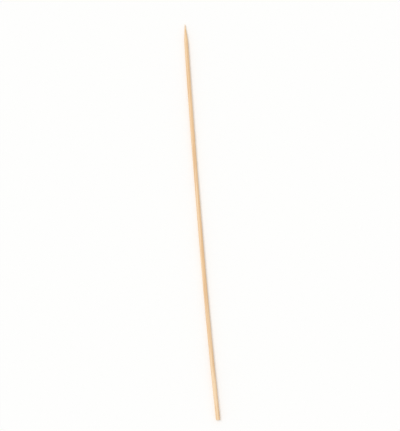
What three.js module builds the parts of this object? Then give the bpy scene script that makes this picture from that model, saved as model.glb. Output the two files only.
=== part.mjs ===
// Bamboo skewer: a round rod of bamboo, sawn square at one end and ground to a point at the other.
// It lies on the plane z = 0 as it comes to rest, its length along Y and its point towards +Y.
// Like every dried rod it is slightly bowed, and it lies with the bow level, towards -X.

import * as THREE from 'three';

// Sizes in millimetres
const LENGTH = 250; // from the sawn face to the end of the point
const DIAMETER = 2.5;
const POINT_LENGTH = 12; // the ground taper
const POINT_BELLY = 0.06; // how far the taper's side stands out of a straight cone
const TIP_DIAMETER = 0.4; // the blunt end that grinding leaves
const RIM_ROUND = 0.12; // the edge of the sawn face, worn round
const BOW = 1.2; // how far the rod strays from the line between its ends
const BOW_OFF_MIDDLE = 20; // the bow is deepest this far from mid-length, towards the sawn end

// Facets
const SIDES = 24;
const SHANK_STEPS = 20;
const TAPER_STEPS = 10;
const ROUND_STEPS = 3;

// The outline that turns about the rod's axis, as a radius at each height along it
function skewerOutline() {
  const radius = DIAMETER / 2;
  const tipRadius = TIP_DIAMETER / 2;
  const taperStart = LENGTH - POINT_LENGTH;
  const tipStart = LENGTH - tipRadius;
  const rim = new THREE.EllipseCurve(radius - RIM_ROUND, RIM_ROUND, RIM_ROUND, RIM_ROUND, -Math.PI / 2, 0);
  const shank = new THREE.LineCurve(
    new THREE.Vector2(radius, RIM_ROUND),
    new THREE.Vector2(radius, taperStart),
  );
  const taper = new THREE.QuadraticBezierCurve(
    new THREE.Vector2(radius, taperStart),
    new THREE.Vector2((radius + tipRadius) / 2 + 2 * POINT_BELLY, (taperStart + tipStart) / 2),
    new THREE.Vector2(tipRadius, tipStart),
  );
  const tip = new THREE.EllipseCurve(0, tipStart, tipRadius, tipRadius, 0, Math.PI / 2);
  return [
    new THREE.Vector2(0, 0),
    ...rim.getPoints(ROUND_STEPS),
    ...afterFirst(shank.getPoints(SHANK_STEPS)),
    ...afterFirst(taper.getPoints(TAPER_STEPS)),
    ...afterFirst(tip.getPoints(ROUND_STEPS)),
  ];
}

// A curve's points without the first, which the curve before it ends on
function afterFirst(points) {
  return points.slice(1);
}

// The diameter is measured across the flats, and one flat lies underneath
function turnedRod() {
  const acrossFlats = 1 / Math.cos(Math.PI / SIDES);
  const outline = skewerOutline().map((point) => new THREE.Vector2(point.x * acrossFlats, point.y));
  return new THREE.LatheGeometry(outline, SIDES, Math.PI / SIDES);
}

// How far the bow carries the rod towards -X at a height along it: nothing at the ends, two half
// parabolas that meet where it is deepest
function bowAt(height) {
  const deepest = LENGTH / 2 - BOW_OFF_MIDDLE;
  const fromEnd = height < deepest ? height / deepest : (LENGTH - height) / (LENGTH - deepest);
  return BOW * (1 - (1 - fromEnd) ** 2);
}

function bend(geometry) {
  const position = geometry.getAttribute('position');
  for (let i = 0; i < position.count; i++) {
    position.setX(i, position.getX(i) - bowAt(position.getY(i)));
  }
  geometry.computeVertexNormals();
}

function skewer() {
  const geometry = turnedRod();
  bend(geometry);
  geometry.computeBoundingBox();
  const { min, max } = geometry.boundingBox;
  const bamboo = new THREE.MeshStandardMaterial({ color: '#f0d2a8', roughness: 0.6, metalness: 0 });
  const mesh = new THREE.Mesh(geometry, bamboo);
  mesh.name = 'skewer';
  mesh.position.set(-(min.x + max.x) / 2, -(min.y + max.y) / 2, -min.z);
  return mesh;
}

const part = new THREE.Group();
part.add(skewer());

export default part;
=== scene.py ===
"""Bamboo skewer: a round bamboo rod, sawn at one end and ground to a point at the other."""
import math
import random

import bmesh
import bpy
from bpy.props import FloatProperty, FloatVectorProperty, IntProperty, PointerProperty, StringProperty
from mathutils import Matrix, Vector, kdtree, noise


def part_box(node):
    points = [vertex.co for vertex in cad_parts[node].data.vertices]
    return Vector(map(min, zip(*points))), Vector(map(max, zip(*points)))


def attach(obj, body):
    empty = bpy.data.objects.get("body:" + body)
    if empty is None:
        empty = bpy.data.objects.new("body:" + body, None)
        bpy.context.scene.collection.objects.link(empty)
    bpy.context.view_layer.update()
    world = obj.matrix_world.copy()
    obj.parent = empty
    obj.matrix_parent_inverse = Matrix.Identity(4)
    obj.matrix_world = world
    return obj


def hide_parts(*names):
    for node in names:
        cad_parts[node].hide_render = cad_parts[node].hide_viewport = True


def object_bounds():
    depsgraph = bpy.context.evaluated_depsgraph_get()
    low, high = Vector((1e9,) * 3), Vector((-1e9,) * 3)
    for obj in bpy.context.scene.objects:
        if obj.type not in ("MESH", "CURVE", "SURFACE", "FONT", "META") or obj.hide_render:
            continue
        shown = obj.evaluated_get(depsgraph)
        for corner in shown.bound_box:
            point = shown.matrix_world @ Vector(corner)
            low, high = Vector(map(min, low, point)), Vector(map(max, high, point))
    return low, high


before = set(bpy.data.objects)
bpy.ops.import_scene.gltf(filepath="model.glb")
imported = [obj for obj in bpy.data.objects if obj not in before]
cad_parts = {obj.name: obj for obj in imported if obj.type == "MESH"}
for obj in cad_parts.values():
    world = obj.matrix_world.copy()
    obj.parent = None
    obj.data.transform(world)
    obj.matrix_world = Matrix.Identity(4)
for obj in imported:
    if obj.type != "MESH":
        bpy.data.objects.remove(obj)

bl_info = {
    "name": "Bamboo Skewer",
    "version": (1, 0, 0),
    "blender": (4, 5, 0),
    "location": "3D View > Sidebar > Skewer",
    "description": "Makes a bamboo skewer and the pale table that it lies on",
    "category": "Object",
}

CAD_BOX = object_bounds()
LOW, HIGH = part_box("skewer")
MM = 0.001
NEAR = 0.001 * MM  # places closer than this are one


class SkewerSizes(bpy.types.PropertyGroup):
    """Sizes of the rod, with the length, diameter and bow of the frame's solid"""

    length: FloatProperty(
        name="Length", description="From the sawn face to the end of the point",
        default=HIGH.y - LOW.y, unit="LENGTH")
    diameter: FloatProperty(
        name="Diameter", description="Across the shank",
        default=HIGH.z - LOW.z, unit="LENGTH")
    bow: FloatProperty(
        name="Bow", description="How far the dried rod strays from the line between its ends",
        default=HIGH.x - LOW.x - (HIGH.z - LOW.z), unit="LENGTH")
    bow_off_middle: FloatProperty(
        name="Bow off Middle", description="How far towards the sawn end the bow is deepest",
        default=20 * MM, unit="LENGTH")
    point_length: FloatProperty(
        name="Point Length", description="Length of the ground taper",
        default=12 * MM, unit="LENGTH")
    point_belly: FloatProperty(
        name="Point Belly", description="How far the taper's side stands out of a straight cone",
        default=0.06 * MM, unit="LENGTH")
    tip_diameter: FloatProperty(
        name="Tip Diameter", description="The blunt end that grinding leaves",
        default=0.4 * MM, unit="LENGTH")
    rim_round: FloatProperty(
        name="Rim Round", description="Worn edge of the sawn face",
        default=0.1 * MM, unit="LENGTH")
    strand_pitch: FloatProperty(
        name="Strand Pitch", description="Distance between the fibre strands in the cane",
        default=0.55 * MM, unit="LENGTH")
    strand_width: FloatProperty(
        name="Strand Width", description="Width of one fibre strand",
        default=0.32 * MM, unit="LENGTH")
    run_out: FloatProperty(
        name="Grain Run-out", description="Angle between the grain and the rod",
        default=math.radians(0.35), subtype="ANGLE")
    relief: FloatProperty(
        name="Relief", description="How far the strands stand proud of the soft ground between them",
        default=0.03 * MM, unit="LENGTH")
    saw_relief: FloatProperty(
        name="Saw Relief", description="Depth of the pores and torn fibres in the sawn face",
        default=0.07 * MM, unit="LENGTH")
    grind_relief: FloatProperty(
        name="Grind Relief", description="How unevenly the grinding takes the point down",
        default=0.05 * MM, unit="LENGTH")
    sliver_length: FloatProperty(
        name="Sliver Length", description="Longest sliver that lifts from the turned side",
        default=2.6 * MM, unit="LENGTH")
    sliver_width: FloatProperty(
        name="Sliver Width", description="Width of a sliver at its root",
        default=0.09 * MM, unit="LENGTH")
    slivers: IntProperty(
        name="Slivers", description="How many slivers lift from the turned side", default=11)
    sides: IntProperty(
        name="Sides", description="Faces round the rod", default=128)
    face_rings: IntProperty(
        name="Face Rings", description="Rings of faces across the sawn face", default=32)
    shank_rings: IntProperty(
        name="Shank Rings", description="Rings of faces along the shank", default=260)
    taper_rings: IntProperty(
        name="Taper Rings", description="Rings of faces along the point", default=44)
    seed: IntProperty(
        name="Seed", description="Chooses the cane's strands", default=7)


class BambooColours(bpy.types.PropertyGroup):
    """Colours of dry, unbleached bamboo, as sRGB hex"""

    ground: StringProperty(
        name="Ground", description="The soft pale tissue", default="#F6D9B3")
    strand: StringProperty(
        name="Strand", description="Fibre strands that come to the surface", default="#E0B27C")
    streak: StringProperty(
        name="Streak", description="Long warm streaks", default="#EDC596")
    line: StringProperty(
        name="Line", description="Narrow brown lines along the grain", default="#D3A06A")
    dash: StringProperty(
        name="Dash", description="Short dark marks where the cutter tore a strand", default="#B88A57")
    pore: StringProperty(
        name="Pore", description="Strands cut across by the saw", default="#B98C5B")
    core: StringProperty(
        name="Core", description="Open vessels in the middle of a cut strand", default="#7E5B37")
    # The taper's tone is partly its own ground tissue and partly painted shade, which makes it warmer and a
    # little darker than the shank.
    point: StringProperty(
        name="Point", description="Freshly ground tissue of the taper", default="#F3D2A4")


class StageSettings(bpy.types.PropertyGroup):
    """The table, the light and the camera"""

    table: StringProperty(
        name="Table", description="Colour of the pale table", default="#FEFEFD")
    azimuth: FloatProperty(
        name="Azimuth", description="Camera's angle round the skewer",
        default=math.radians(4.7), subtype="ANGLE")
    elevation: FloatProperty(
        name="Elevation", description="Camera's angle above the table",
        default=math.radians(80), subtype="ANGLE")
    lens: FloatProperty(
        name="Lens", description="Focal length in millimetres", default=85)
    surround: FloatProperty(
        name="Surround", description="Light from all round, where 1 is white", default=0.72)
    lamp_power: FloatProperty(
        name="Lamp Power", description="Strength of the soft lamp", default=0.98)
    lamp_spread: FloatProperty(
        name="Lamp Spread", description="How wide the soft lamp looks from the table",
        default=math.radians(32), subtype="ANGLE")
    lamp_from: FloatVectorProperty(
        name="Lamp From", description="Direction of the lamp, seen from the skewer",
        default=(-0.42, 0.25, 1.0), subtype="XYZ")
    fill: FloatProperty(
        name="Fill", description="Share of the frame's height that the skewer takes", default=0.92)


# Small helpers


def linear(hex_colour):
    """An sRGB hex colour as linear red, green, blue and alpha."""
    parts = [int(hex_colour[i:i + 2], 16) / 255 for i in (1, 3, 5)]
    return [c / 12.92 if c <= 0.04045 else ((c + 0.055) / 1.055) ** 2.4 for c in parts] + [1.0]


def smooth_step(low, high, value):
    """0 below low, 1 above high and a smooth rise between them."""
    t = min(max((value - low) / (high - low), 0.0), 1.0)
    return t * t * (3 - 2 * t)


def add_node(tree, kind, links=None, **settings):
    """A shader node with its settings, its input values, and its links from other nodes' sockets."""
    node = tree.nodes.new(kind)
    inputs = settings.pop("inputs", {})
    for name, value in settings.items():
        setattr(node, name, value)
    for name, value in inputs.items():
        node.inputs[name].default_value = value
    for name, source in (links or {}).items():
        tree.links.new(source, node.inputs[name])
    return node


# The rod


def circle_edges(bm, along, radius):
    """The blank's edges on the circle of one radius at one place along it."""
    return [
        edge for edge in bm.edges
        if all(abs(v.co.y - along) < NEAR and abs(math.hypot(v.co.x, v.co.z) - radius) < NEAR
               for v in edge.verts)]


def turned_blank(sizes):
    """The half outline of the rod, cut fine along its length and spun about the Y axis."""
    bm = bmesh.new()
    radius, tip_radius = sizes.diameter / 2, sizes.tip_diameter / 2
    # Where each stretch of the outline ends, across and along, and how many rings of faces it gets.
    # The two short ones on either side of the rim leave room to round it.
    stretches = (
        (radius - 1.5 * sizes.rim_round, 0, sizes.face_rings),
        (radius, 0, 1),
        (radius, 2 * sizes.rim_round, 1),
        (radius, sizes.length - sizes.point_length, sizes.shank_rings),
        (tip_radius, sizes.length, sizes.taper_rings),
        (tip_radius / 3, sizes.length, 1),
        (0, sizes.length, 3),
    )
    verts = [bm.verts.new((0, 0, 0))]
    verts += [bm.verts.new((across, along, 0)) for across, along, _ in stretches]
    edges = [bm.edges.new(pair) for pair in zip(verts, verts[1:])]
    for edge, (_, _, rings) in zip(edges, stretches):
        if rings > 1:
            bmesh.ops.subdivide_edges(bm, edges=[edge], cuts=rings - 1)
    bmesh.ops.spin(
        bm, geom=bm.verts[:] + bm.edges[:], cent=(0, 0, 0), axis=(0, 1, 0),
        angle=math.tau, steps=sizes.sides, use_merge=True)
    bmesh.ops.remove_doubles(bm, verts=bm.verts, dist=NEAR / 2)
    rounds = (
        (circle_edges(bm, 0, radius), sizes.rim_round),
        (circle_edges(bm, sizes.length, tip_radius), 0.55 * tip_radius),
    )
    for circle, width in rounds:
        bmesh.ops.bevel(
            bm, geom=circle, offset=width, segments=3, profile=0.5, affect="EDGES", material=-1)
    bmesh.ops.recalc_face_normals(bm, faces=bm.faces)
    return bm


def grain_noise(place, width, length, layer=0):
    """Noise between 0 and 1 with marks of one width and length, drawn out along the grain."""
    marks = Vector((place.x / width, place.y / length + layer, place.z / width))
    return 0.5 + 0.5 * noise.noise(marks)


def shape_taper(bm, sizes):
    """The taper's side stands a little out of a straight cone, and the grinding leaves it uneven.

    The last of the wood frays as it is ground through, so the blunt end is the most ragged.
    """
    taper_start = sizes.length - sizes.point_length
    tip_radius = sizes.tip_diameter / 2
    for vert in bm.verts:
        t = (vert.co.y - taper_start) / sizes.point_length
        if t <= 0:
            continue
        hollows = grain_noise(vert.co, 1.1 * MM, 1.1 * MM)
        torn = grain_noise(vert.co, 0.16 * MM, 0.64 * MM)
        fray = smooth_step(0.9, 1, t)
        ground_off = sizes.grind_relief * min(1, 4 * t) * (hollows * (1 - fray) + torn * fray)
        swell = 4 * t * (1 - t) * sizes.point_belly - ground_off
        scale = 1 + swell / max(math.hypot(vert.co.x, vert.co.z), tip_radius)
        vert.co.x *= scale
        vert.co.z *= scale
        vert.co.y -= 2 * sizes.grind_relief * torn * smooth_step(0.98, 1, t)


def raise_slivers(bm, sizes):
    """A few torn slivers lift from the rod, each on the side that the bow leaves room on."""
    draw = random.Random(sizes.seed + 1)
    root = sizes.diameter / 2 - 0.6 * sizes.relief  # sunk a little, so that no gap shows under it
    deepest = sizes.length / 2 - sizes.bow_off_middle
    shank = sizes.length - sizes.point_length
    for i in range(sizes.slivers):
        along = shank * (i + draw.uniform(0.25, 0.75)) / sizes.slivers
        side = 1 if abs(along - deepest) < 0.25 * sizes.length else -1
        length = sizes.sliver_length * draw.uniform(0.35, 1)
        lift = math.radians(draw.uniform(3, 8))
        turn = math.radians(draw.uniform(-50, 50))
        heading = draw.choice((-1, 1))
        sliver = bmesh.ops.create_cone(
            bm, cap_ends=True, segments=6, radius1=sizes.sliver_width / 2,
            radius2=sizes.sliver_width / 12, depth=length)["verts"]
        bmesh.ops.translate(bm, verts=sliver, vec=(0, 0, length / 2))
        bmesh.ops.scale(bm, verts=sliver, vec=(0.5, 1, 1))
        leaning = Matrix.Rotation(-heading * (math.pi / 2 - lift), 3, "X")
        flat_on = Matrix.Rotation(math.pi / 2, 3, "Z")
        bmesh.ops.rotate(bm, verts=sliver, cent=(0, 0, 0), matrix=leaning @ flat_on)
        bmesh.ops.translate(bm, verts=sliver, vec=(0, along, root))
        upright_to_side = Matrix.Rotation(side * math.pi / 2 + turn, 3, "Y")
        bmesh.ops.rotate(bm, verts=sliver, cent=(0, 0, 0), matrix=upright_to_side)


def grain_place(co, sizes):
    """Where a point of the rod lies in the cane: the grain leaves the rod's line and wanders a little."""
    drift = math.tan(sizes.run_out) * co.y
    wander, bend_length = 0.25 * sizes.strand_pitch, 40 * MM
    along = co.y / bend_length
    return Vector((
        co.x - drift + wander * noise.noise(Vector((along, 0, sizes.seed))),
        co.y,
        co.z - 0.6 * drift + wander * noise.noise(Vector((along, 9, sizes.seed))),
    ))


def cane_strands(sizes):
    """A tree of the strands' places across the cane, in uneven rows, and each strand's half width."""
    # In strand pitches: at 0.87 the strands in neighbouring rows are as far apart as those in one row
    row_gap, astray = 0.87, 0.28
    draw = random.Random(sizes.seed)
    reach = sizes.diameter / 2 + math.tan(sizes.run_out) * sizes.length
    rows = round(reach / sizes.strand_pitch) + 2
    places, half_widths = [], []
    for row in range(-rows, rows + 1):
        for column in range(-rows, rows + 1):
            across = column + 0.5 * (row % 2) + draw.uniform(-astray, astray)
            deep = row_gap * row + draw.uniform(-astray, astray)
            places.append(Vector((across * sizes.strand_pitch, 0, deep * sizes.strand_pitch)))
            half_widths.append(sizes.strand_width / 2 * draw.uniform(0.75, 1.2))
    tree = kdtree.KDTree(len(places))
    for i, place in enumerate(places):
        tree.insert(place, i)
    tree.balance()
    return tree, half_widths


def mark_grain(bm, sizes):
    """Leaves each vertex its place in the cane and how much of a strand and its core it lies on."""
    tree, half_widths = cane_strands(sizes)
    grain = bm.verts.layers.float_vector.new("grain")
    strand = bm.verts.layers.float.new("strand")
    core = bm.verts.layers.float.new("core")
    for vert in bm.verts:
        place = grain_place(vert.co, sizes)
        _, nearest, away = tree.find(Vector((place.x, 0, place.z)))
        ragged = 0.5 + grain_noise(place, 0.13 * MM, 15 * MM)
        off_centre = ragged * away / half_widths[nearest]
        vert[grain] = place
        vert[strand] = 1 - smooth_step(0.5, 1.15, off_centre)
        vert[core] = 1 - smooth_step(0.1, 0.6, off_centre)


def carve_grain(bm, sizes):
    """Strands stand proud of the soft ground on the turned side, and their pores sink in the sawn face."""
    grain = bm.verts.layers.float_vector["grain"]
    strand = bm.verts.layers.float["strand"]
    core = bm.verts.layers.float["core"]
    radius = sizes.diameter / 2
    for vert in bm.verts:
        place, amount = vert[grain], vert[strand]
        outward = Vector((vert.co.x, 0, vert.co.z))
        fine = grain_noise(place, 0.16 * MM, 7 * MM)
        depth = sizes.relief * (0.75 * (1 - amount) + 0.25 * fine)
        share = min(1, outward.length / (0.5 * radius))
        on_face = 1 - smooth_step(0, 3 * sizes.rim_round, vert.co.y)
        if on_face > 0:
            share = smooth_step(0.5 * radius, 0.95 * radius, outward.length)
            torn = grain_noise(place, 0.2 * MM, sizes.length, layer=5)
            vert.co.y += on_face * sizes.saw_relief * (0.5 * torn + 0.2 * amount + 0.3 * vert[core])
        vert.co -= outward.normalized() * depth * share


def lay_out_map(bm, sizes):
    """A flat map of the surface: the side unrolled, and both ends as discs beside it."""
    bm.normal_update()
    flat = bm.loops.layers.uv.new("OFBake")
    side_width, disc_width, margin = 0.78, 0.2, 0.005  # shares of the map's width
    sawn_disc = (side_width + margin, margin)
    tip_disc = (side_width + margin, 0.5)
    for face in bm.faces:
        middle = face.calc_center_median()
        facing = math.atan2(middle.z, middle.x)
        sawn = middle.y < sizes.point_length / 4
        ended = abs(face.normal.y) > 0.6 and (sawn or middle.y > sizes.length - sizes.tip_diameter)
        for loop in face.loops:
            x, y, z = loop.vert.co
            if ended:
                disc, reach = (sawn_disc, sizes.diameter) if sawn else (tip_disc, sizes.tip_diameter)
                loop[flat].uv = [start + disc_width * (0.5 + across / reach)
                                 for start, across in zip(disc, (x, z))]
            else:
                turn = math.remainder(math.atan2(z, x) - facing, math.tau) + facing
                around = 0.5 + turn / math.tau
                loop[flat].uv = (margin + around * (side_width - 2 * margin), y / sizes.length)


def bow_at(along, sizes):
    """How far the bow carries the rod towards -X: two half parabolas that meet where it is deepest."""
    deepest = sizes.length / 2 - sizes.bow_off_middle
    from_end = along / deepest if along < deepest else (sizes.length - along) / (sizes.length - deepest)
    return sizes.bow * (1 - (1 - from_end) ** 2)


def lay_down(bm, sizes):
    """Bows the rod and lays it where the frame has it."""
    radius = sizes.diameter / 2
    for vert in bm.verts:
        vert.co.x += HIGH.x - radius - bow_at(vert.co.y, sizes)
        vert.co.y += LOW.y
        vert.co.z += LOW.z + radius


def bamboo_material(sizes, colours):
    """Bamboo, split from the culm, cut round and left bare.

    The eye sees pale straw with darker fibre strands along it, torn here and there by the cutter, a
    satin surface without a clear reflection, and a sawn end dotted with the strands' brown pores.
    """
    material = bpy.data.materials.new("bare_machined_bamboo")
    material.use_nodes = True
    tree = material.node_tree
    tree.nodes.clear()
    grain = add_node(tree, "ShaderNodeAttribute", attribute_name="grain").outputs["Vector"]
    strand = add_node(tree, "ShaderNodeAttribute", attribute_name="strand").outputs["Fac"]
    core = add_node(tree, "ShaderNodeAttribute", attribute_name="core").outputs["Fac"]
    along = add_node(tree, "ShaderNodeSeparateXYZ", links={"Vector": grain}).outputs["Y"]

    def pattern(width, length, detail, depth=None):
        """Noise drawn out along the grain, for marks of one width and length."""
        scaled = add_node(
            tree, "ShaderNodeMapping", links={"Vector": grain},
            inputs={"Scale": (1 / width, 1 / length, 1 / (depth or width))})
        return add_node(
            tree, "ShaderNodeTexNoise", links={"Vector": scaled.outputs["Vector"]},
            inputs={"Scale": 1.0, "Detail": detail, "Roughness": 0.55}).outputs["Fac"]

    def ramp(value, low, high, to_low=0.0, to_high=1.0):
        """A value spread from one range to another and held to its ends."""
        return add_node(
            tree, "ShaderNodeMapRange", links={"Value": value}, interpolation_type="SMOOTHSTEP",
            inputs={"From Min": low, "From Max": high, "To Min": to_low, "To Max": to_high}
        ).outputs["Result"]

    def times(a, b):
        """The product of two values."""
        return add_node(
            tree, "ShaderNodeMath", operation="MULTIPLY", links={0: a, 1: b}).outputs["Value"]

    def tint(base, hex_colour, amount):
        """The colour so far, moved towards another by an amount."""
        mix = add_node(
            tree, "ShaderNodeMix", data_type="RGBA", links={"Factor": amount},
            inputs={"B": linear(hex_colour)})
        if isinstance(base, str):
            mix.inputs["A"].default_value = linear(base)
        else:
            tree.links.new(base, mix.inputs["A"])
        return mix.outputs["Result"]

    # Real fibres are 0.02 to 0.1 mm wide, too fine to show, so fibres, lines and dashes are drawn as
    # coarse as they need to show
    fibres = pattern(0.14 * MM, 9 * MM, 3.0)
    streaks = pattern(0.8 * MM, 70 * MM, 2.0)
    lines = pattern(0.32 * MM, 45 * MM, 1.0)
    dashes = pattern(0.22 * MM, 5 * MM, 1.0)
    drift = pattern(9 * MM, 60 * MM, 1.0)

    # Fine saw teeth and grit leave marks about 0.1 mm apart, across the sawn face and round the point
    saw_marks = pattern(1.6 * MM, 1 * MM, 1.0, depth=0.07 * MM)
    grind_marks = pattern(0.8 * MM, 0.09 * MM, 1.0)

    # The turned side begins just past the sawn face, and the grinding shows from the point's first quarter
    on_side = ramp(along, 0.08 * MM, 0.2 * MM)
    on_face = ramp(on_side, 0.0, 1.0, 1.0, 0.0)
    on_point = ramp(along, sizes.length - sizes.point_length, sizes.length - 0.75 * sizes.point_length)

    # The pale ground first, then the other tones over it, one by one
    colour = tint(colours.ground, colours.streak, ramp(streaks, 0.42, 0.64))
    colour = tint(colour, colours.strand, ramp(strand, 0.0, 1.0, 0.0, 0.8))
    colour = tint(colour, colours.strand, ramp(fibres, 0.5, 0.75, 0.0, 0.55))
    colour = tint(colour, colours.streak, ramp(drift, 0.35, 0.75, 0.0, 0.5))
    # Painted shade over the taper: it turns warmer and a little darker than the shank, partly the ground
    # tissue's own tone.
    colour = tint(colour, colours.point, ramp(on_point, 0.0, 1.0, 0.0, 0.45))
    colour = tint(colour, colours.line, times(ramp(lines, 0.56, 0.66, 0.0, 0.6), on_side))
    colour = tint(colour, colours.dash, ramp(dashes, 0.68, 0.78, 0.0, 0.7))
    colour = tint(colour, colours.pore, times(on_face, ramp(strand, 0.1, 0.9, 0.0, 0.65)))
    colour = tint(colour, colours.core, times(on_face, ramp(core, 0.0, 1.0, 0.0, 0.55)))

    # Fibres and strands stand up along the rod, saw and grinding marks lie across it
    along_grain = add_node(
        tree, "ShaderNodeMath", operation="MULTIPLY_ADD", links={0: fibres, 2: times(strand, on_side)},
        inputs={1: 0.6}).outputs["Value"]
    across_grain = add_node(
        tree, "ShaderNodeMath", operation="ADD",
        links={
            0: times(ramp(saw_marks, 0.35, 0.65), on_face),
            1: times(ramp(grind_marks, 0.35, 0.65, 0.0, 0.5), on_point)}
    ).outputs["Value"]
    height = add_node(
        tree, "ShaderNodeMath", operation="ADD", links={0: along_grain, 1: across_grain}
    ).outputs["Value"]
    bump = add_node(
        tree, "ShaderNodeBump", links={"Height": height},
        inputs={"Strength": 0.6, "Distance": 0.02 * MM}).outputs["Normal"]
    roughness = ramp(fibres, 0.2, 0.8, 0.46, 0.62)
    bamboo = add_node(
        tree, "ShaderNodeBsdfPrincipled",
        links={"Base Color": colour, "Roughness": roughness, "Normal": bump},
        inputs={"IOR": 1.5, "Metallic": 0.0})
    add_node(
        tree, "ShaderNodeOutputMaterial", links={"Surface": bamboo.outputs["BSDF"]})
    return material


class SKEWER_OT_make_rod(bpy.types.Operator):
    """Make the bamboo rod with its strands, sawn end and ground point"""

    bl_idname = "skewer.make_rod"
    bl_label = "Make Rod"

    def execute(self, context):
        sizes = context.scene.skewer_sizes
        bm = turned_blank(sizes)
        shape_taper(bm, sizes)
        raise_slivers(bm, sizes)
        mark_grain(bm, sizes)
        carve_grain(bm, sizes)
        lay_out_map(bm, sizes)
        lay_down(bm, sizes)
        mesh = bpy.data.meshes.new("bamboo_rod")
        bm.to_mesh(mesh)
        bm.free()
        mesh.shade_smooth()
        mesh.materials.append(bamboo_material(sizes, context.scene.bamboo_colours))
        rod = bpy.data.objects.new("bamboo_rod", mesh)
        context.scene.collection.objects.link(rod)
        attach(rod, "root")
        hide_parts("skewer")
        return {"FINISHED"}


# The stage


def table_material(colour):
    """Uncoated white card, pressed matt: it takes a soft shadow and shows no shine."""
    material = bpy.data.materials.new("matt_white_card")
    material.use_nodes = True
    shader = material.node_tree.nodes["Principled BSDF"]
    shader.inputs["Base Color"].default_value = linear(colour)
    shader.inputs["Roughness"].default_value = 1.0
    shader.inputs["Specular IOR Level"].default_value = 0.0
    return material


def lay_table(scene, settings):
    """A pale table under the skewer, wide enough to fill the frame from any side."""
    half_width = 12  # metres
    bm = bmesh.new()
    bmesh.ops.create_grid(bm, x_segments=1, y_segments=1, size=half_width)
    mesh = bpy.data.meshes.new("table")
    bm.to_mesh(mesh)
    bm.free()
    mesh.materials.append(table_material(settings.table))
    table = bpy.data.objects.new("table", mesh)
    scene.collection.objects.link(table)


def light_table(scene, settings):
    """An even white surround and one soft lamp from the upper left."""
    world = bpy.data.worlds.new("white_surround")
    world.use_nodes = True
    tree = world.node_tree
    tree.nodes.clear()
    path = add_node(tree, "ShaderNodeLightPath")
    around = add_node(
        tree, "ShaderNodeBackground", inputs={"Color": (1, 1, 1, 1), "Strength": settings.surround})
    seen = add_node(
        tree, "ShaderNodeBackground", inputs={"Color": linear(settings.table), "Strength": 1.0})
    mirrored = add_node(
        tree, "ShaderNodeMath", operation="MAXIMUM",
        links={0: path.outputs["Is Glossy Ray"], 1: path.outputs["Is Transmission Ray"]})
    sight = add_node(
        tree, "ShaderNodeMath", operation="MAXIMUM",
        links={0: path.outputs["Is Camera Ray"], 1: mirrored.outputs["Value"]})
    surround = add_node(
        tree, "ShaderNodeMixShader",
        links={0: sight.outputs["Value"], 1: around.outputs["Background"], 2: seen.outputs["Background"]})
    add_node(tree, "ShaderNodeOutputWorld", links={"Surface": surround.outputs["Shader"]})
    scene.world = world
    lamp = bpy.data.lights.new("soft_lamp", "SUN")
    lamp.energy = settings.lamp_power
    lamp.angle = settings.lamp_spread
    key = bpy.data.objects.new("soft_lamp", lamp)
    key.rotation_euler = Vector(settings.lamp_from).to_track_quat("Z", "Y").to_euler()
    scene.collection.objects.link(key)


def place_camera(scene, settings, sizes):
    """Looks down on the skewer, which leans a little and fills the frame's height."""
    lens = bpy.data.cameras.new("camera")
    lens.lens = settings.lens
    lens.clip_start = 10 * MM
    camera = bpy.data.objects.new("camera", lens)
    scene.collection.objects.link(camera)
    azimuth, elevation = settings.azimuth, settings.elevation
    back = Vector((
        -math.sin(azimuth) * math.cos(elevation),
        -math.cos(azimuth) * math.cos(elevation),
        math.sin(elevation),
    ))
    # The frame is upright, so the sensor's width spans its height
    half_height = lens.sensor_width / 2 / lens.lens
    distance = sizes.length / 2 * math.sin(elevation) / (settings.fill * half_height)
    middle = (CAD_BOX[0] + CAD_BOX[1]) / 2
    camera.location = middle + back * distance
    camera.rotation_euler = back.to_track_quat("Z", "Y").to_euler()
    scene.camera = camera


class SKEWER_OT_make_stage(bpy.types.Operator):
    """Make the table, the light and the camera"""

    bl_idname = "skewer.make_stage"
    bl_label = "Make Stage"

    def execute(self, context):
        scene = context.scene
        lay_table(scene, scene.stage_settings)
        light_table(scene, scene.stage_settings)
        place_camera(scene, scene.stage_settings, scene.skewer_sizes)
        scene.view_settings.view_transform = "Standard"
        return {"FINISHED"}


class SKEWER_PT_panel(bpy.types.Panel):
    """Lists the skewer's operators and settings"""

    bl_idname = "SKEWER_PT_panel"
    bl_label = "Bamboo Skewer"
    bl_space_type = "VIEW_3D"
    bl_region_type = "UI"
    bl_category = "Skewer"

    def draw(self, context):
        for group in ("skewer_sizes", "bamboo_colours", "stage_settings"):
            box = self.layout.box()
            settings = getattr(context.scene, group)
            for name in settings.__annotations__:
                box.prop(settings, name)
        self.layout.operator(SKEWER_OT_make_rod.bl_idname)
        self.layout.operator(SKEWER_OT_make_stage.bl_idname)


CLASSES = (
    SkewerSizes, BambooColours, StageSettings,
    SKEWER_OT_make_rod, SKEWER_OT_make_stage, SKEWER_PT_panel,
)


def register():
    for item in CLASSES:
        bpy.utils.register_class(item)
    bpy.types.Scene.skewer_sizes = PointerProperty(type=SkewerSizes)
    bpy.types.Scene.bamboo_colours = PointerProperty(type=BambooColours)
    bpy.types.Scene.stage_settings = PointerProperty(type=StageSettings)


def unregister():
    del bpy.types.Scene.stage_settings
    del bpy.types.Scene.bamboo_colours
    del bpy.types.Scene.skewer_sizes
    for item in reversed(CLASSES):
        bpy.utils.unregister_class(item)


def main():
    register()
    bpy.ops.skewer.make_rod()
    bpy.ops.skewer.make_stage()


if __name__ == "__main__":
    main()
